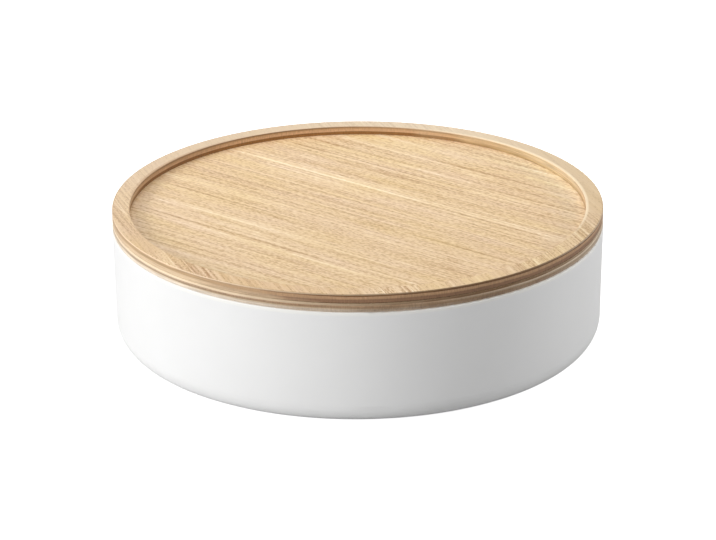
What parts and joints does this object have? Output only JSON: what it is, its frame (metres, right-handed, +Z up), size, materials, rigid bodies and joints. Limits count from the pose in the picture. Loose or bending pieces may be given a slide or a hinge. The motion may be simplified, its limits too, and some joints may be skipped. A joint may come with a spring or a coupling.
{
  "type": "round storage case",
  "caption": "Low round storage case: white moulded bowl, lift-out divided tray for jewellery, and a plywood lid with a raised rim that lifts off and serves as a tray.",
  "frame": {"origin": "on the surface that the case stands on, at the centre of its footprint", "axes": "+Z up through the lid, -Y towards the front of the case"},
  "size_m": [0.2, 0.2, 0.0556],
  "materials": {
    "white_plastic": "satin-matte white moulding",
    "tray_plastic": "matte white moulding",
    "pad_rubber": "matte translucent grey pad",
    "grey_felt": "short pressed felt",
    "roll_suede": "short-nap suede cloth",
    "cushion_board": "plain pressed board",
    "rim_oak": "matte clear-lacquered oak veneer",
    "rim_ply": "sanded plywood edge",
    "panel_oak": "matte clear-lacquered oak veneer",
    "panel_ply": "sanded plywood edge",
    "panel_back": "sanded plywood edge",
    "ring_ply": "sanded plywood"
  },
  "bodies": {
    "bowl": {"bowl_shell": "white_plastic", "well_liner": "grey_felt", "foot_pad_1": "pad_rubber", "foot_pad_2": "pad_rubber", "foot_pad_3": "pad_rubber", "foot_pad_4": "pad_rubber"},
    "tray": {"divider_tray": "tray_plastic", "necklace_liner": "grey_felt", "left_bay_liner": "grey_felt", "right_bay_liner": "grey_felt", "pin_bay_liner": "grey_felt", "ring_cushion_board": "cushion_board", "ring_roll_1": "roll_suede", "ring_roll_2": "roll_suede", "ring_roll_3": "roll_suede", "ring_roll_4": "roll_suede", "ring_roll_5": "roll_suede"},
    "lid": {"lid_rim_face_veneer": "rim_oak", "lid_rim_core": "rim_ply", "lid_panel_face_veneer": "panel_oak", "lid_panel_core": "panel_ply", "lid_panel_back_ply": "panel_back", "lid_locating_ring": "ring_ply"}
  },
  "joints": [
    {"name": "tray_lift", "type": "slide", "parent": "bowl", "child": "tray", "axis": [0, 0, 1], "range_m": [0, 0.08]},
    {"name": "lid_lift", "type": "slide", "parent": "tray", "child": "lid", "axis": [0, 0, 1], "range_m": [0, 0.1]}
  ]
}
